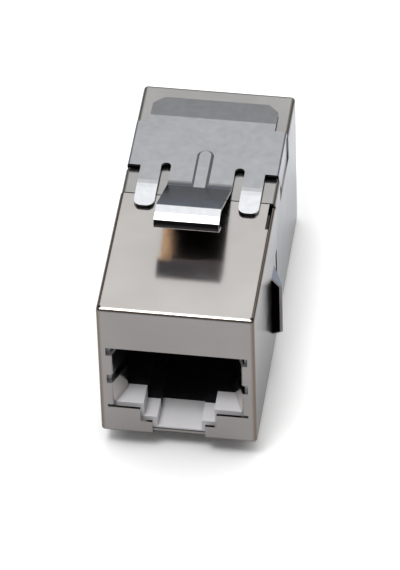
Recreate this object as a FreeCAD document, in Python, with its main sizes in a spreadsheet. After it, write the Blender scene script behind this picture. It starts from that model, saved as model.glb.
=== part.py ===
import FreeCAD, Part
import os
import re

import Sketcher

# RJ45 inline coupler, in millimetres.
# X runs to the right, Y from the front port to the rear port, Z up. The origin lies on the surface that
# the coupler stands on, under the middle of its length. The front half is built directly. A piece of the
# rear half is built at the front as well and then mirrored through the plane Y = 0.

SIZES = {
    # Whole coupler: length between the port faces, height of the shells, and how far the lug hangs below
    "overall_length": 30.7,
    "shell_height": 16.2,
    "lug_drop": 1.5,
    # Sheet metal: gauge, outside radius of the folds round a port plate, and the free space of a loose fit
    "gauge": 0.25,
    "fold_radius": 0.36,
    "fit_gap": 0.08,
    # Front shell: width, depth from the port face back to the seam, rounding of its long edges, and the
    # narrow seams of these edges with a relief at each end and a wider notch at one. A relief in the rear
    # edge of each side flap has its run, and its base and top above the shell's underside
    "front_width": 14.8,
    "front_edge_radius": 0.34,
    "seam_depth": 15.6,
    "seam_gap": 0.12,
    "corner_gap": 0.07,
    "corner_relief": 0.19,
    "corner_notch": 0.3,
    "corner_notch_run": 3.4,
    "corner_nick": 0.45,
    "side_relief_run": 1.0,
    "side_relief_base": 6.75,
    "side_relief_top": 10.65,
    # Rear shell: how far each side stands inside the front shell's, and the radius of its long folds
    "rear_inset": 0.05,
    "rear_fold_radius": 0.45,
    # Louvres pressed out of the front shell's sides: distance behind the port face, height of the
    # middle above the shell's underside, tall span, outward press, run to the rear, flat crest
    "louvre_depth": 11.8,
    "louvre_middle": 6.5,
    "louvre_span": 7.6,
    "louvre_out": 0.95,
    "louvre_run": 1.7,
    "louvre_crest": 0.3,
    "louvre_top_taper": 0.5,
    "louvre_foot_taper": 1.2,
    # Fixed keystone lug, a wider louvre pressed down out of the front shell's underside
    "lug_depth": 8.8,
    "lug_span": 8.0,
    "lug_run": 3.2,
    "lug_crest": 1.0,
    "lug_taper": 0.7,
    # Window of each port plate: rim beside it on the front shell, and its edges. Heights are above the
    # shell's underside
    "window_rim": 0.75,
    "window_top": 11.15,
    "window_shelf": 3.3,
    "window_step_half": 3.6,
    "window_step": 1.68,
    "window_notch_half": 2.5,
    # Grounding fingers folded in from the window's sides: their reach inwards at throat and flared tip
    "finger_throat_reach": 1.55,
    "finger_tip_reach": 1.3,
    "finger_throat_depth": 2.6,
    "finger_tip_depth": 3.5,
    "lower_finger_top": 6.5,
    "upper_finger_base": 7.6,
    "upper_finger_top": 10.15,
    # Light bezel behind each port plate: set back from the plate, its depth, the depth of its channel floor,
    # and how far each edge of its mouth shows inside the window
    "bezel_setback": 0.3,
    "bezel_depth": 2.95,
    "channel_depth": 4.25,
    "mouth_side_reveal": 0.35,
    "mouth_top_cover": 0.2,
    "mouth_shelf_reveal": 0.25,
    "mouth_step_reveal": 0.2,
    "mouth_step_side_reveal": 0.25,
    "mouth_notch_reveal": 0.4,
    "mouth_floor": 0.65,
    # Plug cavity of each jack housing: its depth, and how far its sides stand inside the bezel's mouth
    "cavity_depth": 12.8,
    "cavity_side_step": 0.35,
    "ceiling_window_half": 4.3,
    # Contact carrier, a comb that slides into the housing from the board's side
    "carrier_half": 5.2,
    "carrier_base": 11.5,
    "carrier_top": 14.3,
    "carrier_depth": 6.3,
    # Spring contacts: eight per port, their solder rows alternately low and high
    "contact_pitch": 1.02,
    "contact_width": 0.45,
    "contact_gauge": 0.3,
    "contact_row": 12.3,
    "row_rise": 1.1,
    "nose_depth": 5.7,
    "nose_base": 11.3,
    "contact_tip_depth": 12.2,
    "contact_tip": 9.1,
    "tail_entry": 0.7,
    # Circuit board between the two jacks, and its distances from the shell's sides, underside and top
    "board_thickness": 1.6,
    "board_side_gap": 0.6,
    "board_base": 1.2,
    "board_top_gap": 0.85,
    "board_hole_radius": 0.34,
    # Spring clip: gauge, free space at its wings, depth of the seats that the shell's sides have for them,
    # and its plate, whose rear strip stands inside the shell's sides. Rises are above the shells' top. The
    # tongue bends up and the prongs bend down at the same depth, each with its own radius
    "clip_gauge": 0.25,
    "clip_side_gap": 0.04,
    "clip_seat_depth": 0.41,
    "clip_rise": 0.3,
    "clip_rear_depth": 28.8,
    "clip_slope_depth": 26.0,
    "clip_strip_inset": 1.3,
    "clip_corner": 1.0,
    "wing_front_depth": 19.0,
    "wing_rear_depth": 25.0,
    "wing_foot_depth": 20.6,
    "wing_drop": 2.8,
    "slot_depth": 19.55,
    "bend_depth": 16.6,
    "foot_radius": 2.4,
    "prong_bend_radius": 12.0,
    # Spring fingers of the clip, beside its tongue
    "prong_inner": 3.98,
    "prong_outer": 5.93,
    "prong_tip_depth": 13.8,
    "prong_round": 0.75,
    # Latch tongue: ramp to a crest, a lip that rolls over into a round nose, and the catch face folded
    # down and back from the nose's foot
    "tongue_half": 3.05,
    "crest_depth": 10.07,
    "crest_rise": 4.0,
    "lip_depth": 9.15,
    "lip_rise": 3.93,
    "lip_fold_depth": 8.5,
    "lip_fold_rise": 3.76,
    "nose_front_depth": 8.36,
    "nose_front_rise": 3.5,
    "nose_foot_depth": 8.38,
    "nose_foot_rise": 3.2,
    "catch_depth": 9.66,
    "catch_rise": 2.44,
    # Stiffening rib pressed up out of the tongue's root, with sloping sides
    "rib_half": 0.8,
    "rib_slope": 0.25,
    "rib_height": 0.2,
    "rib_rear_depth": 21.6,
}

# Planes that many pieces share, as expressions of the sizes
FRONT = "(-overall_length / 2)"
SEAM = "(-overall_length / 2 + seam_depth)"
UNDERSIDE = "lug_drop"
TOP = "(lug_drop + shell_height)"
REAR_REACH = "(overall_length - seam_depth - seam_gap)"
REAR_WIDTH = "(front_width - 2 * rear_inset)"
WINDOW_HALF = "(front_width / 2 - window_rim)"

# Mouth of each bezel, set in from the window of the port plate. Heights are above the shell's underside
MOUTH_HALF = f"({WINDOW_HALF} - mouth_side_reveal)"
MOUTH_TOP = "(window_top + mouth_top_cover)"
MOUTH_SHELF = "(window_shelf + mouth_shelf_reveal)"
MOUTH_STEP = "(window_step + mouth_step_reveal)"
MOUTH_STEP_HALF = "(window_step_half - mouth_step_side_reveal)"
MOUTH_NOTCH_HALF = "(window_notch_half - mouth_notch_reveal)"

# Room by which a cutting block passes the face that it cuts
PASS = "1"

FRONT_FACE_EDGES = (1, 5, 9, 10)
LONG_EDGES = (2, 4, 6, 8)
UPRIGHT_FRONT_EDGES = (1, 5)

CONTACT_COUNT = 8

os.makedirs("parts", exist_ok=True)
doc = FreeCAD.newDocument("rj45_inline_coupler")

sheet = doc.addObject("Spreadsheet::Sheet", "Sizes")
for row, (alias, size) in enumerate(SIZES.items(), start=1):
    sheet.set(f"A{row}", alias)
    sheet.set(f"B{row}", str(size))
    sheet.setAlias(f"B{row}", alias)
doc.recompute()


# ---------------------------------------------------------------- building blocks


def bound(expression):
    """Spell out each size in an expression as a cell of the sheet."""
    def cell(match):
        word = match.group(0)
        return f"Sizes.{word}" if word in SIZES else word

    return re.sub(r"[a-z_]+", cell, expression)


def bind(item, **expressions):
    """Bind properties of an object to expressions of the sizes."""
    for name, expression in expressions.items():
        item.setExpression(name, bound(expression))


def move_to(item, x="0", y="0", z="0"):
    """Bind the position of an object."""
    for axis, expression in (("x", x), ("y", y), ("z", z)):
        item.setExpression(f"Placement.Base.{axis}", bound(expression))


def block(name, x, y, z):
    """Box between a low and a high expression on each axis."""
    box = doc.addObject("Part::Box", name)
    bind(
        box,
        Length=f"({x[1]}) - ({x[0]})",
        Width=f"({y[1]}) - ({y[0]})",
        Height=f"({z[1]}) - ({z[0]})",
    )
    move_to(box, x[0], y[0], z[0])
    return box


def post(name, x, y, z, radius):
    """Upright cylinder between two heights."""
    cylinder = doc.addObject("Part::Cylinder", name)
    bind(cylinder, Radius=radius, Height=f"({z[1]}) - ({z[0]})")
    move_to(cylinder, x, y, z[0])
    return cylinder


def fuse(name, pieces):
    joined = doc.addObject("Part::MultiFuse", name)
    joined.Shapes = pieces
    joined.Refine = True
    return joined


def cut(name, base, tools):
    removed = doc.addObject("Part::Cut", name)
    removed.Base = base
    removed.Tool = tools[0] if len(tools) == 1 else fuse(f"{name}_tools", tools)
    removed.Refine = True
    return removed


def common(name, first, second):
    shared = doc.addObject("Part::Common", name)
    shared.Base = first
    shared.Tool = second
    shared.Refine = True
    return shared


def mirrored(name, source, normal):
    """Copy of an object through the origin's plane with the given normal."""
    copy = doc.addObject("Part::Mirroring", name)
    copy.Source = source
    copy.Normal = FreeCAD.Vector(*normal)
    return copy


def both_sides(name, source):
    """An object and its mirror image through the plane X = 0."""
    return [source, mirrored(f"{name}_left", source, (1, 0, 0))]


def rounded(name, base, radii):
    """Fillet groups of a block's edges, each group with its radius, worked out from the sheet."""
    doc.recompute()
    fillet = doc.addObject("Part::Fillet", name)
    fillet.Base = base
    fillet.Edges = [(edge, radius, radius) for edges, radius in radii.items() for edge in edges]
    return fillet


def size(alias):
    return float(sheet.get(alias))


SKETCH_TURNS = {
    "XY": FreeCAD.Rotation(),
    "XZ": FreeCAD.Rotation(FreeCAD.Vector(1, 0, 0), 90),
    "YZ": FreeCAD.Rotation(FreeCAD.Vector(1, 1, 1), 120),
}


def outline(name, plane, points, closed):
    """Sketch of straight lines whose corners are bound to expressions of the sizes."""
    sketch = doc.addObject("Sketcher::SketchObject", name)
    sketch.Placement = FreeCAD.Placement(FreeCAD.Vector(), SKETCH_TURNS[plane])
    count = len(points)
    loose = [FreeCAD.Vector(number, number * number / count, 0) for number in range(count)]
    lines = count if closed else count - 1
    for number in range(lines):
        sketch.addGeometry(Part.LineSegment(loose[number], loose[(number + 1) % count]))
    for number in range(lines if closed else lines - 1):
        sketch.addConstraint(Sketcher.Constraint("Coincident", number, 2, (number + 1) % lines, 1))
    for number, corner in enumerate(points):
        line, end = (number, 1) if number < lines else (number - 1, 2)
        for kind, expression in zip(("DistanceX", "DistanceY"), corner):
            constraint = sketch.addConstraint(Sketcher.Constraint(kind, -1, 1, line, end, 1.0))
            label = f"{kind}_{number}"
            sketch.renameConstraint(constraint, label)
            sketch.setExpression(f"Constraints.{label}", bound(expression))
    return sketch


def prism(name, profile, direction, ahead, behind="0"):
    """Solid swept from a sketch or a flat face, some way ahead and some way behind it."""
    solid = doc.addObject("Part::Extrusion", name)
    solid.Base = profile
    solid.DirMode = "Custom"
    solid.Dir = FreeCAD.Vector(*direction)
    solid.Solid = True
    bind(solid, LengthFwd=ahead, LengthRev=behind)
    return solid


def band(name, path, thickness):
    """Flat face of even thickness on the right-hand side of an open path, round at outer bends."""
    face = doc.addObject("Part::Offset2D", name)
    face.Source = path
    face.Mode = "Skin"
    face.Join = "Arc"
    face.Fill = True
    bind(face, Value=thickness)
    return face


def finished(label, item):
    """Name an object as one piece of the coupler."""
    item.Label = label
    pieces.append(item)


def finished_at(end, label, item):
    """Name a piece of the front half, or mirror it into the rear half and name it there."""
    if end == "rear":
        item = mirrored(f"{end}_{label}_placed", item, (0, 1, 0))
    finished(f"{end}_{label}", item)


pieces = []


# ---------------------------------------------------------------- port openings


def port_opening(name, half, top, shelf, step_half, step, notch_half, floor, y):
    """Prism of a modular port: plug opening on a shelf, with the two lower steps of the latch slot."""
    right = [
        (notch_half, floor),
        (notch_half, step),
        (step_half, step),
        (step_half, shelf),
        (half, shelf),
        (half, top),
    ]
    left = [(f"-({x})", z) for x, z in reversed(right)]
    corners = [(x, f"{UNDERSIDE} + {z}") for x, z in right + left]
    profile = outline(f"{name}_outline", "XZ", corners, closed=True)
    move_to(profile, y=y[0])
    return prism(name, profile, (0, 1, 0), f"({y[1]}) - ({y[0]})")


# ---------------------------------------------------------------- shells


def grounding_fingers(end):
    """Four fingers of a port plate, folded in at the window's sides and flared at their tips."""
    path = outline(
        f"{end}_finger_path",
        "XY",
        [
            (f"{WINDOW_HALF} - finger_tip_reach + gauge", f"{FRONT} + finger_tip_depth"),
            (f"{WINDOW_HALF} - finger_throat_reach + gauge", f"{FRONT} + finger_throat_depth"),
            (MOUTH_HALF, f"{FRONT} + gauge"),
            (f"{WINDOW_HALF} + gauge", f"{FRONT} + gauge"),
        ],
        closed=False,
    )
    section = band(f"{end}_finger_band", path, "gauge")
    fingers = []
    levels = {
        "lower": (f"{MOUTH_SHELF} + fit_gap", "lower_finger_top"),
        "upper": ("upper_finger_base", "upper_finger_top"),
    }
    for level, (low, high) in levels.items():
        finger = prism(f"{end}_{level}_finger", section, (0, 0, 1), f"{high} - ({low})")
        move_to(finger, z=f"{UNDERSIDE} + {low}")
        fingers += both_sides(f"{end}_{level}_finger", finger)
    return fingers


def open_box(end, width, depth, long_radius):
    """Folded box of sheet with its port plate at the front and its rear left open."""
    half = f"{width} / 2"
    outside = block(
        f"{end}_outside",
        (f"-{half}", half),
        (FRONT, f"{FRONT} + {depth}"),
        (UNDERSIDE, TOP),
    )
    inside = block(
        f"{end}_inside",
        (f"-{half} + gauge", f"{half} - gauge"),
        (f"{FRONT} + gauge", f"{FRONT} + {depth} + {PASS}"),
        (f"{UNDERSIDE} + gauge", f"{TOP} - gauge"),
    )
    outer = rounded(
        f"{end}_outside_folds",
        outside,
        {FRONT_FACE_EDGES: size("fold_radius"), LONG_EDGES: size(long_radius)},
    )
    inner = rounded(
        f"{end}_inside_folds",
        inside,
        {
            FRONT_FACE_EDGES: size("fold_radius") - size("gauge"),
            LONG_EDGES: size(long_radius) - size("gauge"),
        },
    )
    return outer, inner


def plate_window(end):
    """Cutter for the port opening of a port plate, open to the plate's lower edge."""
    return port_opening(
        f"{end}_plate_window",
        WINDOW_HALF,
        "window_top",
        "window_shelf",
        "window_step_half",
        "window_step",
        "window_notch_half",
        f"-{PASS}",
        (f"{FRONT} - {PASS}", f"{FRONT} + fold_radius + gauge"),
    )


def louvre(name, sizes, across, outward, centre):
    """Skin and hollow of a louvre pressed out of a wall, with its mouth towards the front."""
    wedges = []
    for part_name, sunk in (("skin", "0"), ("hollow", "gauge")):
        wedge = doc.addObject("Part::Wedge", f"{name}_{part_name}")
        bind(
            wedge,
            Xmin="0",
            Xmax=sizes["run"],
            X2min="0",
            X2max=sizes["crest"],
            Ymin="0",
            Ymax=sizes["out"],
            Zmin=f"-{sizes['span']} / 2",
            Zmax=f"{sizes['span']} / 2",
            Z2min=f"-{sizes['span']} / 2 + {sizes['low_taper']}",
            Z2max=f"{sizes['span']} / 2 - {sizes['high_taper']}",
        )
        wedge.Placement = FreeCAD.Placement(
            FreeCAD.Vector(),
            FreeCAD.Rotation(FreeCAD.Vector(0, 1, 0), outward, across, "XYZ"),
        )
        sink_x = f"{centre[0]} - ({sunk}) * {outward.x}"
        sink_z = f"{centre[2]} - ({sunk}) * {outward.z}"
        move_to(wedge, sink_x, centre[1], sink_z)
        wedges.append(wedge)
    return wedges


def side_louvre():
    return louvre(
        "side_louvre",
        {
            "run": "louvre_run",
            "crest": "louvre_crest",
            "out": "louvre_out",
            "span": "louvre_span",
            "low_taper": "louvre_foot_taper",
            "high_taper": "louvre_top_taper",
        },
        FreeCAD.Vector(0, 0, -1),
        FreeCAD.Vector(1, 0, 0),
        ("front_width / 2", f"{FRONT} + louvre_depth", f"{UNDERSIDE} + louvre_middle"),
    )


def keystone_lug():
    return louvre(
        "keystone_lug",
        {
            "run": "lug_run",
            "crest": "lug_crest",
            "out": "lug_drop",
            "span": "lug_span",
            "low_taper": "lug_taper",
            "high_taper": "lug_taper",
        },
        FreeCAD.Vector(-1, 0, 0),
        FreeCAD.Vector(0, 0, -1),
        ("0", f"{FRONT} + lug_depth", UNDERSIDE),
    )


def corner_seams():
    """Cutters that part the top and bottom flaps from the full-height side flaps."""
    outer = "front_width / 2 - gauge"
    inner = f"{outer} - corner_gap"
    run = (f"{FRONT} + fold_radius", f"{SEAM} + {PASS}")
    levels = {
        "top": (f"{TOP} - 2 * gauge", f"{TOP} + {PASS}"),
        "bottom": (f"{UNDERSIDE} - {PASS}", f"{UNDERSIDE} + 2 * gauge"),
    }
    seams = []
    for level, span in levels.items():
        seam = block(f"{level}_seam", (inner, outer), run, span)
        relief = post(
            f"{level}_corner_relief",
            f"{outer} - corner_gap / 2",
            f"{FRONT} + fold_radius",
            span,
            "corner_relief",
        )
        seams += both_sides(f"{level}_seam", seam)
        seams += both_sides(f"{level}_relief", relief)
    notch = block(
        "top_flap_notch",
        (f"{inner} - corner_notch", outer),
        (f"{SEAM} - corner_notch_run", f"{SEAM} + {PASS}"),
        levels["top"],
    )
    nick = block(
        "side_flap_nick",
        (inner, f"front_width / 2 + {PASS}"),
        (f"{SEAM} - corner_nick", f"{SEAM} + {PASS}"),
        levels["top"],
    )
    relief = block(
        "side_flap_relief",
        ("front_width / 2 - 2 * gauge", f"front_width / 2 + {PASS}"),
        (f"{SEAM} - side_relief_run", f"{SEAM} + {PASS}"),
        (f"{UNDERSIDE} + side_relief_base", f"{UNDERSIDE} + side_relief_top"),
    )
    return seams + [notch, nick] + both_sides("side_flap_relief", relief)


def front_shell():
    """One folded sheet: port plate, four flaps, two side louvres and the fixed lug."""
    outer, inner = open_box("front", "front_width", "seam_depth", "front_edge_radius")
    side_skin, side_hollow = side_louvre()
    lug_skin, lug_hollow = keystone_lug()
    pressed = fuse("front_pressed_sheet", [outer, lug_skin] + both_sides("louvre_skin", side_skin))
    hollows = [inner, lug_hollow] + both_sides("louvre_hollow", side_hollow)
    folded = cut("front_folded_sheet", pressed, hollows)
    opened = cut("front_opened_sheet", folded, corner_seams() + [plate_window("front")])
    finished_at("front", "shell", fuse("front_shell_sheet", [opened] + grounding_fingers("front")))


def clip_seat(name, top, x, grown):
    """Blocks at both sides of the rear half, over the place of the clip's wings and some way past it."""
    side = block(
        name,
        x,
        (f"-({FRONT} + wing_rear_depth) - ({grown})", f"-({FRONT} + wing_front_depth) + ({grown})"),
        (f"{TOP} - wing_drop - ({grown})", top),
    )
    return both_sides(name, side)


def rear_shell():
    """One folded sheet with rounded long folds, its own port plate and a seat for each wing of the clip."""
    outer, inner = open_box("rear", REAR_WIDTH, REAR_REACH, "rear_fold_radius")
    folded = cut("rear_folded_sheet", outer, [inner])
    half = f"{REAR_WIDTH} / 2"
    face = f"{half} - clip_seat_depth"
    seats = clip_seat("clip_seat", f"{TOP} + {PASS}", (face, f"{half} + {PASS}"), "clip_side_gap")
    floor_span = (f"{face} - gauge", f"{half} - gauge / 2")
    floors = clip_seat("clip_seat_floor", f"{TOP} - gauge / 2", floor_span, "gauge")
    pressed = fuse("rear_pressed_sheet", [folded] + floors)
    opened = cut("rear_opened_sheet", pressed, seats + [plate_window("rear")])
    finished_at("rear", "shell", fuse("rear_shell_sheet", [opened] + grounding_fingers("rear")))


# ---------------------------------------------------------------- mouldings


def moulding(name, width, y):
    """Block that fits inside a shell with the common clearance, its edges eased to clear the folds."""
    wall = "gauge + fit_gap"
    half = f"{width} / 2 - ({wall})"
    body = block(name, (f"-({half})", half), y, (f"{UNDERSIDE} + {wall}", f"{TOP} - ({wall})"))
    ease = size("rear_fold_radius") - size("gauge")
    return rounded(f"{name}_eased", body, {FRONT_FACE_EDGES + LONG_EDGES: ease})


def mouth_opening(name, half, y):
    """Cutter for the plug's way in through a moulding, with the shelf and steps of the bezel's mouth."""
    return port_opening(
        name,
        half,
        MOUTH_TOP,
        MOUTH_SHELF,
        MOUTH_STEP_HALF,
        MOUTH_STEP,
        MOUTH_NOTCH_HALF,
        "mouth_floor",
        y,
    )


def port_bezel(end, width):
    """Light frame behind a port plate, which guides the plug in, and the floor of its latch channel."""
    start = f"{FRONT} + gauge + bezel_setback"
    frame = moulding(f"{end}_bezel_block", width, (start, f"{FRONT} + bezel_depth"))
    mouth = mouth_opening(
        f"{end}_bezel_mouth",
        MOUTH_HALF,
        (f"{FRONT} - {PASS}", f"{FRONT} + bezel_depth + {PASS}"),
    )
    floor = block(
        f"{end}_channel_floor",
        (f"-{MOUTH_NOTCH_HALF}", MOUTH_NOTCH_HALF),
        (f"{FRONT} + bezel_depth - bezel_setback", f"{FRONT} + channel_depth"),
        (f"{UNDERSIDE} + gauge + fit_gap", f"{UNDERSIDE} + mouth_floor"),
    )
    opened = cut(f"{end}_bezel_opened", frame, [mouth])
    finished_at(end, "port_bezel", fuse(f"{end}_bezel_frame", [opened, floor]))


def jack_housing(end, width):
    """Black jack body: plug cavity, pocket for the contact carrier and a window between them."""
    start = f"{FRONT} + bezel_depth + fit_gap"
    stop = "-(board_thickness / 2 + fit_gap)"
    body = moulding(f"{end}_housing_block", width, (start, stop))
    cavity = mouth_opening(
        f"{end}_plug_cavity",
        f"({MOUTH_HALF} - cavity_side_step)",
        (f"{FRONT} + bezel_depth - {PASS}", f"{FRONT} + cavity_depth"),
    )
    floor_half = f"{MOUTH_NOTCH_HALF} + fit_gap"
    floor_recess = block(
        f"{end}_channel_floor_recess",
        (f"-({floor_half})", floor_half),
        (f"{FRONT} + bezel_depth - {PASS}", f"{FRONT} + channel_depth + fit_gap"),
        (f"{UNDERSIDE} - {PASS}", f"{UNDERSIDE} + mouth_floor + fit_gap"),
    )
    pocket_half = "carrier_half + fit_gap"
    pocket = block(
        f"{end}_carrier_pocket",
        (f"-({pocket_half})", pocket_half),
        (f"{FRONT} + nose_depth - 2 * contact_gauge", f"{PASS}"),
        (f"{UNDERSIDE} + carrier_base - fit_gap", f"{UNDERSIDE} + carrier_top + fit_gap"),
    )
    window = block(
        f"{end}_ceiling_window",
        ("-ceiling_window_half", "ceiling_window_half"),
        (f"{FRONT} + nose_depth - 2 * contact_gauge", f"{FRONT} + cavity_depth"),
        (f"{UNDERSIDE} + {MOUTH_TOP} - {PASS}", f"{UNDERSIDE} + carrier_base"),
    )
    cutters = [cavity, floor_recess, pocket, window]
    if end == "rear":
        floor_face = f"{REAR_WIDTH} / 2 - clip_seat_depth - gauge - fit_gap"
        cutters += clip_seat(
            "clip_seat_room",
            f"{TOP} + {PASS}",
            (floor_face, f"{REAR_WIDTH} / 2 + {PASS}"),
            "gauge + fit_gap",
        )
    finished_at(end, "jack_housing", cut(f"{end}_housing_body", body, cutters))


# ---------------------------------------------------------------- contacts, carriers and board


def contact_place(number):
    """Sideways place of a contact, counted from the left."""
    return f"contact_pitch * ({number} - {(CONTACT_COUNT + 1) / 2})"


def contact_height(number):
    """Height of a contact's solder row above the shells' underside: odd ones low, even ones high."""
    return f"contact_row + row_rise * {(number + 1) % 2}"


def contact_carrier(end):
    """Comb with one slot for each contact, open towards the plug."""
    comb = block(
        f"{end}_carrier_block",
        ("-carrier_half", "carrier_half"),
        (f"{FRONT} + carrier_depth", "-(board_thickness / 2 + fit_gap)"),
        (f"{UNDERSIDE} + carrier_base", f"{UNDERSIDE} + carrier_top"),
    )
    slots = []
    for number in range(1, CONTACT_COUNT + 1):
        place = contact_place(number)
        slot_half = "(contact_width / 2 + fit_gap)"
        slots.append(
            block(
                f"{end}_carrier_slot_{number}",
                (f"{place} - {slot_half}", f"{place} + {slot_half}"),
                (f"{FRONT} + carrier_depth - {PASS}", f"{PASS}"),
                (
                    f"{UNDERSIDE} + carrier_base - {PASS}",
                    f"{UNDERSIDE} + {contact_height(number)} + contact_gauge + fit_gap",
                ),
            )
        )
    finished_at(end, "contact_carrier", cut(f"{end}_carrier_comb", comb, slots))


def contacts():
    """Flat spring contacts: tail in the board, run above the cavity, nose, and free arm into the cavity."""
    profiles = {}
    for number in (1, 2):
        height = f"{UNDERSIDE} + {contact_height(number)}"
        path = outline(
            f"contact_path_{number}",
            "YZ",
            [
                ("-board_thickness / 2 + tail_entry", height),
                (f"{FRONT} + nose_depth", height),
                (f"{FRONT} + nose_depth", f"{UNDERSIDE} + nose_base"),
                (f"{FRONT} + contact_tip_depth", f"{UNDERSIDE} + contact_tip"),
            ],
            closed=False,
        )
        profiles[number % 2] = band(f"contact_band_{number}", path, "contact_gauge")
    for end in ("front", "rear"):
        for number in range(1, CONTACT_COUNT + 1):
            half = "contact_width / 2"
            spring = prism(f"{end}_spring_{number}", profiles[number % 2], (1, 0, 0), half, half)
            move_to(spring, x=contact_place(number))
            finished_at(end, f"contact_{number}", spring)


def circuit_board():
    """Upright board whose plated holes join each front contact to the rear one behind it."""
    half = f"{REAR_WIDTH} / 2 - gauge - board_side_gap"
    board = block(
        "board_blank",
        (f"-({half})", half),
        ("-board_thickness / 2", "board_thickness / 2"),
        (f"{UNDERSIDE} + board_base", f"{TOP} - gauge - board_top_gap"),
    )
    holes = []
    for number in range(1, CONTACT_COUNT + 1):
        hole = doc.addObject("Part::Cylinder", f"board_hole_{number}")
        hole.Placement.Rotation = FreeCAD.Rotation(FreeCAD.Vector(1, 0, 0), -90)
        bind(hole, Radius="board_hole_radius", Height=f"board_thickness + 2 * {PASS}")
        height = f"{UNDERSIDE} + {contact_height(number)} + contact_gauge / 2"
        move_to(hole, contact_place(number), f"-board_thickness / 2 - {PASS}", height)
        holes.append(hole)
    finished("circuit_board", cut("board_drilled", board, holes))


# ---------------------------------------------------------------- spring clip


def clip_path(name, stations):
    """Side view of the clip's lower surface, as distances behind the port face and rises above the top."""
    points = [(f"{FRONT} + {depth}", f"{TOP} + {rise}") for depth, rise in stations]
    return outline(name, "YZ", points, closed=False)


def clip_bend(depth, rise, radius, facets):
    """Stations of the bend from the plate into a straight run. A bend down has a negative radius."""
    angle = f"atan(({rise} - clip_rise) / (bend_depth - ({depth})))"
    stations = []
    for number in range(facets + 1):
        turned = f"({angle}) * {number} / {facets}"
        stations.append(
            (
                f"bend_depth + ({radius}) * (tan(({angle}) / 2) - sin({turned}))",
                f"clip_rise + ({radius}) * (1 - cos({turned}))",
            )
        )
    return stations


def clip_slot():
    """Cutter for the slot between the tongue and a prong, with a semicircular rear end."""
    radius = "(prong_inner - tongue_half) / 2"
    centre = f"{FRONT} + slot_depth - {radius}"
    z = (f"{TOP} - {PASS}", f"{TOP} + clip_rise + {PASS}")
    straight = block(
        "clip_slot_straight",
        ("tongue_half", "prong_inner"),
        (f"{FRONT} + bend_depth", centre),
        z,
    )
    end = post("clip_slot_end", "(tongue_half + prong_inner) / 2", centre, z, radius)
    return fuse("clip_slot", [straight, end])


def clip_plate():
    """Plate over the rear shell, its rear strip sloping down and its rear corners cut off."""
    path = clip_path(
        "clip_plate_path",
        [
            ("clip_rear_depth", "fit_gap"),
            ("clip_slope_depth", "clip_rise"),
            ("wing_front_depth", "clip_rise"),
        ],
    )
    section = band("clip_plate_band", path, "clip_gauge")
    half = f"{REAR_WIDTH} / 2 - clip_strip_inset"
    blank = prism("clip_plate_blank", section, (1, 0, 0), half, half)
    corner = outline(
        "clip_corner_outline",
        "XY",
        [
            (f"{half} - 2 * clip_corner", f"{FRONT} + clip_rear_depth + clip_corner"),
            (f"{half} + clip_corner", f"{FRONT} + clip_rear_depth - 2 * clip_corner"),
            (f"{half} + clip_corner", f"{FRONT} + clip_rear_depth + clip_corner"),
        ],
        closed=True,
    )
    corner_cutter = prism("clip_corner_cutter", corner, (0, 0, 1), f"{TOP} + {PASS}")
    cutters = both_sides("clip_corner_cutter", corner_cutter) + both_sides("clip_slot", clip_slot())
    return cut("clip_plate", blank, cutters)


def clip_wings():
    """Middle of the clip, wrapped over the top and down both sides, with its front behind the slots."""
    half = f"{REAR_WIDTH} / 2 - clip_seat_depth + clip_side_gap"
    low = f"{TOP} - wing_drop"
    high = f"{TOP} + clip_rise"
    whole = outline(
        "clip_wing_path",
        "XZ",
        [(f"-({half})", low), (f"-({half})", high), (half, high), (half, low)],
        closed=False,
    )
    side = outline("wing_front_path", "XZ", [("prong_inner", high), (half, high), (half, low)], closed=False)
    move_to(whole, y=f"{FRONT} + slot_depth")
    move_to(side, y=f"{FRONT} + wing_front_depth")
    middle = prism(
        "clip_middle",
        band("clip_wing_band", whole, "clip_gauge"),
        (0, 1, 0),
        "wing_rear_depth - slot_depth",
    )
    front = prism(
        "wing_front",
        band("wing_front_band", side, "clip_gauge"),
        (0, 1, 0),
        "slot_depth - wing_front_depth + clip_gauge",
    )
    slant = outline(
        "wing_slant_outline",
        "YZ",
        [
            (f"{FRONT} + wing_front_depth", TOP),
            (f"{FRONT} + wing_foot_depth", low),
            (f"{FRONT} + wing_foot_depth", f"{low} - {PASS}"),
            (f"{FRONT} + wing_front_depth - {PASS}", f"{low} - {PASS}"),
            (f"{FRONT} + wing_front_depth - {PASS}", TOP),
        ],
        closed=True,
    )
    reach = f"{REAR_WIDTH} / 2 + {PASS}"
    slant_cutter = prism("wing_slant_cutter", slant, (1, 0, 0), reach, reach)
    sheet_blank = fuse("clip_wing_sheet", [middle] + both_sides("wing_front", front))
    return cut("clip_wings", sheet_blank, [slant_cutter])


def clip_prongs():
    """Two flat fingers that lean forward onto the front shell, with round tips."""
    path = clip_path(
        "prong_path",
        [
            ("slot_depth", "clip_rise"),
            *clip_bend("prong_tip_depth", "fit_gap", "-prong_bend_radius", 2),
            ("prong_tip_depth", "fit_gap"),
        ],
    )
    section = band("prong_band", path, "clip_gauge")
    blank = prism("prong_blank", section, (1, 0, 0), "prong_outer", "-prong_inner")
    plan = block(
        "prong_plan",
        ("prong_inner", "prong_outer"),
        (f"{FRONT} + prong_tip_depth", f"{FRONT} + slot_depth"),
        (f"{TOP} - {PASS}", f"{TOP} + clip_rise + {PASS}"),
    )
    tipped = rounded("prong_plan_tip", plan, {UPRIGHT_FRONT_EDGES: size("prong_round")})
    return both_sides("clip_prong", common("clip_prong", blank, tipped))


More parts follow.
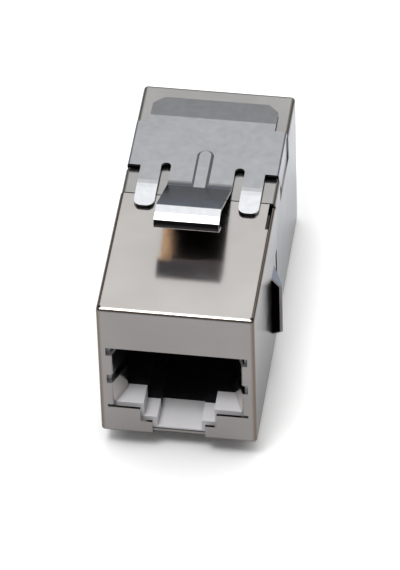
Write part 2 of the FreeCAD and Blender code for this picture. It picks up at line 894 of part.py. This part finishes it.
def clip_tongue():
    """Latch tongue with its ramp, crest, lip and catch face."""
    path = clip_path(
        "tongue_path",
        [
            ("wing_rear_depth", "clip_rise"),
            *clip_bend("crest_depth", "crest_rise", "foot_radius", 5),
            ("crest_depth", "crest_rise"),
            ("lip_depth", "lip_rise"),
            ("lip_fold_depth", "lip_fold_rise"),
            ("nose_front_depth", "nose_front_rise"),
            ("nose_foot_depth", "nose_foot_rise"),
            ("catch_depth", "catch_rise"),
        ],
    )
    section = band("tongue_band", path, "clip_gauge")
    return prism("tongue", section, (1, 0, 0), "tongue_half", "tongue_half")


def tongue_rib():
    """Low rib with sloping sides and a round rear end, which fades into the foot of the ramp."""
    base = f"{TOP} + clip_rise + clip_gauge"
    rear = f"{FRONT} + rib_rear_depth - rib_half"
    slope = "(crest_rise - clip_rise) / (bend_depth - crest_depth)"
    front = f"{FRONT} + bend_depth - rib_height / ({slope})"
    ridge = doc.addObject("Part::Wedge", "rib_ridge")
    ridge.Placement.Rotation = FreeCAD.Rotation(
        FreeCAD.Vector(0, 1, 0), FreeCAD.Vector(0, 0, 1), FreeCAD.Vector(1, 0, 0), "XYZ"
    )
    run = f"({rear}) - ({front})"
    bind(
        ridge,
        Xmin="0",
        Xmax=run,
        X2min="0",
        X2max=run,
        Ymin="0",
        Ymax="rib_height",
        Zmin="-rib_half",
        Zmax="rib_half",
        Z2min="-(rib_half - rib_slope)",
        Z2max="rib_half - rib_slope",
    )
    move_to(ridge, y=front, z=base)
    end = doc.addObject("Part::Cone", "rib_end")
    bind(end, Radius1="rib_half", Radius2="rib_half - rib_slope", Height="rib_height")
    move_to(end, y=rear, z=base)
    return [ridge, end]


def spring_clip():
    """One springy sheet: plate, wings, two prongs and the keystone latch tongue."""
    sheets = [clip_plate(), clip_wings(), clip_tongue()] + clip_prongs() + tongue_rib()
    finished("spring_clip", fuse("clip_sheet", sheets))


# ---------------------------------------------------------------- assembly

front_shell()
rear_shell()
for end, width in (("front", "front_width"), ("rear", REAR_WIDTH)):
    port_bezel(end, width)
    jack_housing(end, width)
    contact_carrier(end)
circuit_board()
contacts()
spring_clip()

doc.recompute()

for item in doc.Objects:
    if "Invalid" in item.State or "Error" in item.State:
        raise RuntimeError(f"{item.Name} did not build: {item.State}")
for piece in pieces:
    if piece.Shape.isNull() or not piece.Shape.isValid():
        raise RuntimeError(f"{piece.Label} has no valid shape")
    if len(piece.Shape.Solids) != 1:
        raise RuntimeError(f"{piece.Label} has {len(piece.Shape.Solids)} solids")
for piece in pieces:
    piece.Shape.exportStep(f"parts/{piece.Label}.step")
    print(f"{piece.Label}: {piece.Shape.Volume:.2f} mm3")
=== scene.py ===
import math

import bpy
from mathutils import Matrix, Vector


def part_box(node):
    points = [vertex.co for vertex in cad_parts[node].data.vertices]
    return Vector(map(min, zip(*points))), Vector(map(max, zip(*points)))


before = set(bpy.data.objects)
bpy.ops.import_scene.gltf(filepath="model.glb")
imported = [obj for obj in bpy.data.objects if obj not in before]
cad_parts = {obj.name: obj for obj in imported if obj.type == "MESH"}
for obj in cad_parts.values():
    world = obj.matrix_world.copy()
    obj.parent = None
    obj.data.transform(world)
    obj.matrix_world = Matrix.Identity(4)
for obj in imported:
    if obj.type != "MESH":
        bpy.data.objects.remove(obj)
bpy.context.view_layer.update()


# Plated shells. Both are folded from one gauge of sheet steel, barrel plated with satin nickel,
# which leaves a faint grain and a few soft clouds. The front one carries the louvres and the lug.

fold_breadth = 0.0004

def new_material(name, metallic, roughness):
    """Material with a shader and a pattern space fixed to the piece."""
    material = bpy.data.materials.new(name)
    material.use_nodes = True
    nodes = material.node_tree.nodes
    shader = nodes["Principled BSDF"]
    shader.inputs["Metallic"].default_value = metallic
    shader.inputs["Roughness"].default_value = roughness
    space = nodes.new("ShaderNodeTexCoord")
    return material, nodes, material.node_tree.links, shader, space


def grain(nodes, links, space, scale, detail=3.0):
    """Even noise over the piece."""
    noise = nodes.new("ShaderNodeTexNoise")
    noise.inputs["Scale"].default_value = scale
    noise.inputs["Detail"].default_value = detail
    links.new(space.outputs["Object"], noise.inputs["Vector"])
    return noise.outputs["Fac"]


def ramp(nodes, links, source, low, high, start=0.3, stop=0.7):
    """Two colours spread over part of a pattern's range."""
    spread = nodes.new("ShaderNodeValToRGB")
    spread.color_ramp.elements[0].position = start
    spread.color_ramp.elements[0].color = (*low, 1)
    spread.color_ramp.elements[1].position = stop
    spread.color_ramp.elements[1].color = (*high, 1)
    links.new(source, spread.inputs["Fac"])
    return spread.outputs["Color"]


def spread_value(nodes, links, source, low, high):
    """Map a pattern to a range of values."""
    remap = nodes.new("ShaderNodeMapRange")
    remap.inputs["From Min"].default_value = 0.3
    remap.inputs["From Max"].default_value = 0.7
    remap.inputs["To Min"].default_value = low
    remap.inputs["To Max"].default_value = high
    links.new(source, remap.inputs["Value"])
    return remap.outputs["Result"]


def raise_grain(nodes, links, shader, source, strength, depth):
    """Let a pattern stand up out of the surface by a small depth."""
    bump = nodes.new("ShaderNodeBump")
    bump.inputs["Strength"].default_value = strength
    bump.inputs["Distance"].default_value = depth
    links.new(source, bump.inputs["Height"])
    links.new(bump.outputs["Normal"], shader.inputs["Normal"])


def finish_node(name, material):
    """Give a construction piece its finish."""
    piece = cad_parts[name]
    piece.data.materials.clear()
    piece.data.materials.append(material)


def measured(nodes, links, source, start, stop):
    """Rise from 0 to 1 between two places along an axis."""
    remap = nodes.new("ShaderNodeMapRange")
    remap.inputs["From Min"].default_value = start
    remap.inputs["From Max"].default_value = stop
    links.new(source, remap.inputs["Value"])
    return remap.outputs["Result"]


def math_node(nodes, links, operation, first, second=None):
    """One step of arithmetic on a source, with another source or a number where it takes two."""
    node = nodes.new("ShaderNodeMath")
    node.operation = operation
    links.new(first, node.inputs[0])
    if isinstance(second, float):
        node.inputs[1].default_value = second
    elif second is not None:
        links.new(second, node.inputs[1])
    return node.outputs["Value"]


def painted_fold_shade_mask(nodes, links, space, low, high, fold):
    """1 along the folds of a box of sheet, 0 on its flats."""
    parts = nodes.new("ShaderNodeSeparateXYZ")
    links.new(space.outputs["Object"], parts.inputs["Vector"])
    near = []
    for axis, name in enumerate("XYZ"):
        middle = (low[axis] + high[axis]) / 2
        half = (high[axis] - low[axis]) / 2
        offset = math_node(nodes, links, "SUBTRACT", parts.outputs[name], middle)
        reach = math_node(nodes, links, "ABSOLUTE", offset)
        near.append(measured(nodes, links, reach, half - fold, half - fold * 0.3))
    pairs = [math_node(nodes, links, "MINIMUM", near[a], near[b]) for a, b in ((0, 1), (1, 2), (0, 2))]
    first = math_node(nodes, links, "MAXIMUM", pairs[0], pairs[1])
    return math_node(nodes, links, "MAXIMUM", first, pairs[2])


def satin_nickel(name, low, high, gloss, painted_fold_shade_tone, box_low, box_high):
    """Satin plate with soft clouds, painted in a darker, warmer tone along the folds as painted shade, and a
    slightly uneven gloss.
    """
    material, nodes, links, shader, space = new_material(name, 1.0, 0.2)
    clouds = grain(nodes, links, space, 160.0, detail=4.0)
    plate = ramp(nodes, links, clouds, low, high)
    # Painted shade: the folds get a darker, warmer colour that stands in for the shade and dark reflections
    # along them.
    tint = nodes.new("ShaderNodeMix")
    tint.data_type = "RGBA"
    tint.inputs["B"].default_value = (*painted_fold_shade_tone, 1)
    links.new(painted_fold_shade_mask(nodes, links, space, box_low, box_high, fold_breadth), tint.inputs["Factor"])
    links.new(plate, tint.inputs["A"])
    links.new(tint.outputs["Result"], shader.inputs["Base Color"])
    patches = grain(nodes, links, space, 420.0)
    links.new(spread_value(nodes, links, patches, *gloss), shader.inputs["Roughness"])
    waves = grain(nodes, links, space, 210.0, detail=1.0)
    raise_grain(nodes, links, shader, waves, 0.05, 0.00004)
    return material


front_low, front_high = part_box("front_shell")
rear_low, rear_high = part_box("rear_shell")

# The front shell's own box takes in its louvres and its lug, so its folds are found from the rear
# shell, which is as wide and as high.
case_low = Vector((rear_low[0], front_low[1], rear_low[2]))
case_high = rear_high
# Each shell's last colour is its painted shade along the folds.
front_nickel = satin_nickel(
    "front_satin_nickel", (0.56, 0.535, 0.515), (0.615, 0.59, 0.57), (0.15, 0.19),
    (0.36, 0.29, 0.23), case_low, case_high,
)
# Painted shade: the rear shell's copy of the same nickel is painted darker than the front's.
rear_shaded_nickel = satin_nickel(
    "rear_shaded_satin_nickel", (0.445, 0.44, 0.435), (0.505, 0.50, 0.49), (0.16, 0.21),
    (0.34, 0.28, 0.22), case_low, case_high,
)
finish_node("front_shell", front_nickel)
finish_node("rear_shell", rear_shaded_nickel)


# Spring clip. One piece of hard stainless strip, blanked and bent, with a fine tumbled surface.
# It clasps the rear shell with its two wings. Its catch face lies in front of one depth and is painted near
# black as shade.

painted_light_left, painted_light_right = -0.0030, -0.0012
catch_front, catch_rear = -0.0061, -0.0057

def tumbled_stainless_painted_light_and_shade(name):
    """Fine mottled strip with painted shade, near black on its catch face and dark on its front edges and
    underside, and a painted light in tan at the left underneath.
    """
    material, nodes, links, shader, space = new_material(name, 1.0, 0.2)
    mottle = grain(nodes, links, space, 1500.0, detail=4.0)
    bright = ramp(nodes, links, mottle, (0.47, 0.48, 0.50), (0.51, 0.52, 0.54))
    parts = nodes.new("ShaderNodeSeparateXYZ")
    links.new(space.outputs["Object"], parts.inputs["Vector"])
    # Painted light and shade on the underside: a tan light at the left fades into dark shade towards the
    # right.
    across = measured(nodes, links, parts.outputs["X"], painted_light_left, painted_light_right)
    scale = ramp(nodes, links, across, (0.17, 0.115, 0.07), (0.05, 0.042, 0.037), start=0.35, stop=0.75)
    # Painted shade: near black on the catch face, in front of the catch depth.
    catch = nodes.new("ShaderNodeMix")
    catch.data_type = "RGBA"
    catch.inputs["A"].default_value = (0.012, 0.012, 0.014, 1)
    links.new(measured(nodes, links, parts.outputs["Y"], catch_front, catch_rear), catch.inputs["Factor"])
    links.new(scale, catch.inputs["B"])
    # Painted shade: the faces that look down take these dark colours.
    facing = nodes.new("ShaderNodeSeparateXYZ")
    links.new(space.outputs["Normal"], facing.inputs["Vector"])
    upper = measured(nodes, links, facing.outputs["Z"], -0.6, -0.25)
    sides = nodes.new("ShaderNodeMix")
    sides.data_type = "RGBA"
    links.new(upper, sides.inputs["Factor"])
    links.new(catch.outputs["Result"], sides.inputs["A"])
    links.new(bright, sides.inputs["B"])
    # Painted shade: the faces that look to the front are painted dark, standing in for a dark reflection.
    edges = nodes.new("ShaderNodeMix")
    edges.data_type = "RGBA"
    edges.inputs["A"].default_value = (0.05, 0.048, 0.05, 1)
    links.new(measured(nodes, links, facing.outputs["Y"], -0.85, -0.7), edges.inputs["Factor"])
    links.new(sides.outputs["Result"], edges.inputs["B"])
    links.new(edges.outputs["Result"], shader.inputs["Base Color"])
    patches = grain(nodes, links, space, 700.0)
    links.new(spread_value(nodes, links, patches, 0.15, 0.20), shader.inputs["Roughness"])
    return material


finish_node("spring_clip", tumbled_stainless_painted_light_and_shade("tumbled_stainless_painted_light_and_shade"))


# Port bezels. Pale grey mouldings behind the port plates, with the fine spark-eroded texture of
# their mould.

def moulded(name, low, high, roughness):
    material, nodes, links, shader, space = new_material(name, 0.0, roughness)
    clouds = grain(nodes, links, space, 260.0)
    links.new(ramp(nodes, links, clouds, low, high), shader.inputs["Base Color"])
    texture = grain(nodes, links, space, 2500.0, detail=2.0)
    raise_grain(nodes, links, shader, texture, 0.12, 0.00001)
    return material


pale_grey = moulded("pale_grey_moulding", (0.77, 0.76, 0.78), (0.83, 0.82, 0.84), 0.45)
for end in ("front", "rear"):
    finish_node(f"{end}_port_bezel", pale_grey)


# Jack housings and contact carriers. Black glass-filled mouldings deep inside the ports.

black = moulded("black_moulding", (0.007, 0.007, 0.009), (0.012, 0.012, 0.015), 0.5)
for end in ("front", "rear"):
    finish_node(f"{end}_jack_housing", black)
    finish_node(f"{end}_contact_carrier", black)


# Spring contacts. Stamped bronze strips, gold plated, eight in each port.

def gold_plate(name):
    material, nodes, links, shader, space = new_material(name, 1.0, 0.22)
    clouds = grain(nodes, links, space, 900.0)
    links.new(ramp(nodes, links, clouds, (0.76, 0.52, 0.19), (0.86, 0.62, 0.27)), shader.inputs["Base Color"])
    return material


gold = gold_plate("gold_plate")
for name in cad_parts:
    if "_contact_" in name and not name.endswith("carrier"):
        finish_node(name, gold)


# Circuit board. Glass laminate under green solder mask, with the weave just showing.

def solder_mask(name):
    material, nodes, links, shader, space = new_material(name, 0.0, 0.35)
    weave = nodes.new("ShaderNodeTexBrick")
    weave.inputs["Scale"].default_value = 1600.0
    weave.inputs["Color1"].default_value = (0.012, 0.10, 0.035, 1)
    weave.inputs["Color2"].default_value = (0.016, 0.125, 0.045, 1)
    weave.inputs["Mortar"].default_value = (0.010, 0.085, 0.030, 1)
    mapping = nodes.new("ShaderNodeMapping")
    mapping.inputs["Rotation"].default_value = (math.radians(90), 0, 0)
    links.new(space.outputs["Object"], mapping.inputs["Vector"])
    links.new(mapping.outputs["Vector"], weave.inputs["Vector"])
    links.new(weave.outputs["Color"], shader.inputs["Base Color"])
    return material


finish_node("circuit_board", solder_mask("green_solder_mask"))


# Floor. A pale sweep that the coupler rests on. It touches the crest of the fixed lug and the
# rear shell's lower rear edge, so it leans a little to the coupler's own frame.

lug_crest_depth = 0.0096
floor_gap = 0.00002
lug_crest_y = front_low[1] + lug_crest_depth
lean = math.atan2(rear_low[2] - front_low[2], rear_high[1] - lug_crest_y)

bpy.ops.mesh.primitive_plane_add(
    size=4.0, location=(0, lug_crest_y, front_low[2] - floor_gap), rotation=(lean, 0, 0),
)
floor = bpy.context.object
floor.name = "floor"

# The camera sees white paper everywhere. What lights the coupler from below is a grey sheet round it, which
# is painted shade round its base, darkest in front of the port plate as a painted shadow, and which falls off
# to a bluish bench.
painted_shadow_front, painted_shadow_rear = -0.010, 0.013
sheet_radius, bench_radius = 0.05, 0.085
paper = bpy.data.materials.new("white_paper")
paper.use_nodes = True
sheet_nodes = paper.node_tree.nodes
sheet_links = paper.node_tree.links
paper_shader = sheet_nodes["Principled BSDF"]
paper_shader.inputs["Roughness"].default_value = 0.9
paper_shader.inputs["Specular IOR Level"].default_value = 0.1
sheet_space = sheet_nodes.new("ShaderNodeTexCoord")
reach = sheet_nodes.new("ShaderNodeVectorMath")
reach.operation = "LENGTH"
sheet_links.new(sheet_space.outputs["Object"], reach.inputs[0])
sheet_parts = sheet_nodes.new("ShaderNodeSeparateXYZ")
sheet_links.new(sheet_space.outputs["Object"], sheet_parts.inputs["Vector"])
# Painted shade and shadow: grey round the coupler and darker in front of the port plate, seen only in its
# reflections and bounced light.
sheet = ramp(
    sheet_nodes, sheet_links,
    measured(sheet_nodes, sheet_links, sheet_parts.outputs["Y"], painted_shadow_front, painted_shadow_rear),
    (0.37, 0.365, 0.37), (0.63, 0.64, 0.665), start=0.0, stop=1.0,
)
bench = sheet_nodes.new("ShaderNodeMix")
bench.data_type = "RGBA"
bench.inputs["B"].default_value = (0.26, 0.31, 0.40, 1)
sheet_links.new(
    measured(sheet_nodes, sheet_links, reach.outputs["Value"], sheet_radius, bench_radius),
    bench.inputs["Factor"],
)
sheet_links.new(sheet, bench.inputs["A"])
seen = sheet_nodes.new("ShaderNodeLightPath")
sheet_mix = sheet_nodes.new("ShaderNodeMix")
sheet_mix.data_type = "RGBA"
sheet_mix.inputs["B"].default_value = (0.96, 0.96, 0.96, 1)
sheet_links.new(seen.outputs["Is Camera Ray"], sheet_mix.inputs["Factor"])
sheet_links.new(bench.outputs["Result"], sheet_mix.inputs["A"])
sheet_links.new(sheet_mix.outputs["Result"], paper_shader.inputs["Base Color"])
floor.data.materials.append(paper)


# Light. A room whose ceiling is one broad soft light over dark lower walls, lower behind than in
# front. A small lamp high on the left in front draws the shadow's edge inside the port, and a large
# one stands high behind.

world = bpy.data.worlds.new("room")
bpy.context.scene.world = world
world.use_nodes = True
room_nodes = world.node_tree.nodes
room_links = world.node_tree.links
room = room_nodes["Background"]
room.inputs["Strength"].default_value = 1.95
room_space = room_nodes.new("ShaderNodeTexCoord")
room_parts = room_nodes.new("ShaderNodeSeparateXYZ")
room_links.new(room_space.outputs["Generated"], room_parts.inputs["Vector"])
heights = room_nodes.new("ShaderNodeValToRGB")
front_share = math_node(room_nodes, room_links, "MINIMUM", room_parts.outputs["Y"], 0.0)
front_drop = math_node(room_nodes, room_links, "MULTIPLY", front_share, 0.3)
room_height = math_node(room_nodes, room_links, "ADD", room_parts.outputs["Z"], front_drop)
room_links.new(room_height, heights.inputs["Fac"])
steps = [
    (0.0, 0.05), (0.34, 0.13), (0.545, 0.20), (0.66, 0.335), (0.70, 0.39), (0.74, 0.70), (0.82, 1.0),
]
for number, (height, level) in enumerate(steps):
    if number < 2:
        step = heights.color_ramp.elements[number]
        step.position = height
    else:
        step = heights.color_ramp.elements.new(height)
    step.color = (level, level, level, 1)
room_links.new(heights.outputs["Color"], room.inputs["Color"])
blank = room_nodes.new("ShaderNodeBackground")
blank.inputs["Strength"].default_value = 1.0
room_seen = room_nodes.new("ShaderNodeLightPath")
room_mix = room_nodes.new("ShaderNodeMixShader")
room_links.new(room_seen.outputs["Is Camera Ray"], room_mix.inputs["Fac"])
room_links.new(room.outputs["Background"], room_mix.inputs[1])
room_links.new(blank.outputs["Background"], room_mix.inputs[2])
room_links.new(room_mix.outputs["Shader"], room_nodes["World Output"].inputs["Surface"])
blank.inputs["Color"].default_value = (1, 1, 1, 1)


def lamp(name, azimuth, elevation, distance, width, power):
    """Square area lamp that looks at the coupler's middle."""
    a, e = math.radians(azimuth), math.radians(elevation)
    place = Vector((math.sin(a) * math.cos(e), -math.cos(a) * math.cos(e), math.sin(e))) * distance
    light = bpy.data.lights.new(name, "AREA")
    light.size = width
    light.energy = power
    holder = bpy.data.objects.new(name, light)
    bpy.context.collection.objects.link(holder)
    holder.location = place + Vector((0, 0, 0.01))
    holder.rotation_euler = (-place).to_track_quat("-Z", "Y").to_euler()


lamp("key", -25, 67.6, 0.6, 0.15, 1.2)
lamp("back", 180, 82, 0.7, 0.3, 0.9)


# Camera. It looks down on the front port from slightly to the right, a little off level.

view_azimuth = math.radians(9.29)
view_elevation = math.radians(44.87)
view_roll = math.radians(-1.87)
view_distance = 0.50
view_breadth = 0.0381461
shift_right, shift_up = 0.0002241, 0.0034093

back = Vector((
    math.sin(view_azimuth) * math.cos(view_elevation),
    -math.cos(view_azimuth) * math.cos(view_elevation),
    math.sin(view_elevation),
))
level_right = Vector((math.cos(view_azimuth), math.sin(view_azimuth), 0))
level_up = back.cross(level_right)
right = level_right * math.cos(view_roll) + level_up * math.sin(view_roll)
up = back.cross(right)
case_middle = Vector((0, 0.0018, 0.0095))
aim = case_middle - right * shift_right - up * shift_up

lens = bpy.data.cameras.new("camera")
lens.sensor_fit = "HORIZONTAL"
lens.sensor_width = 36.0
lens.lens = view_distance * lens.sensor_width / view_breadth
lens.clip_start = 0.05
lens.clip_end = 20.0
camera = bpy.data.objects.new("camera", lens)
bpy.context.collection.objects.link(camera)
turn = Matrix((right, up, back)).transposed().to_4x4()
camera.matrix_world = Matrix.Translation(aim + back * view_distance) @ turn
bpy.context.scene.camera = camera

bpy.context.scene.view_settings.view_transform = "Standard"
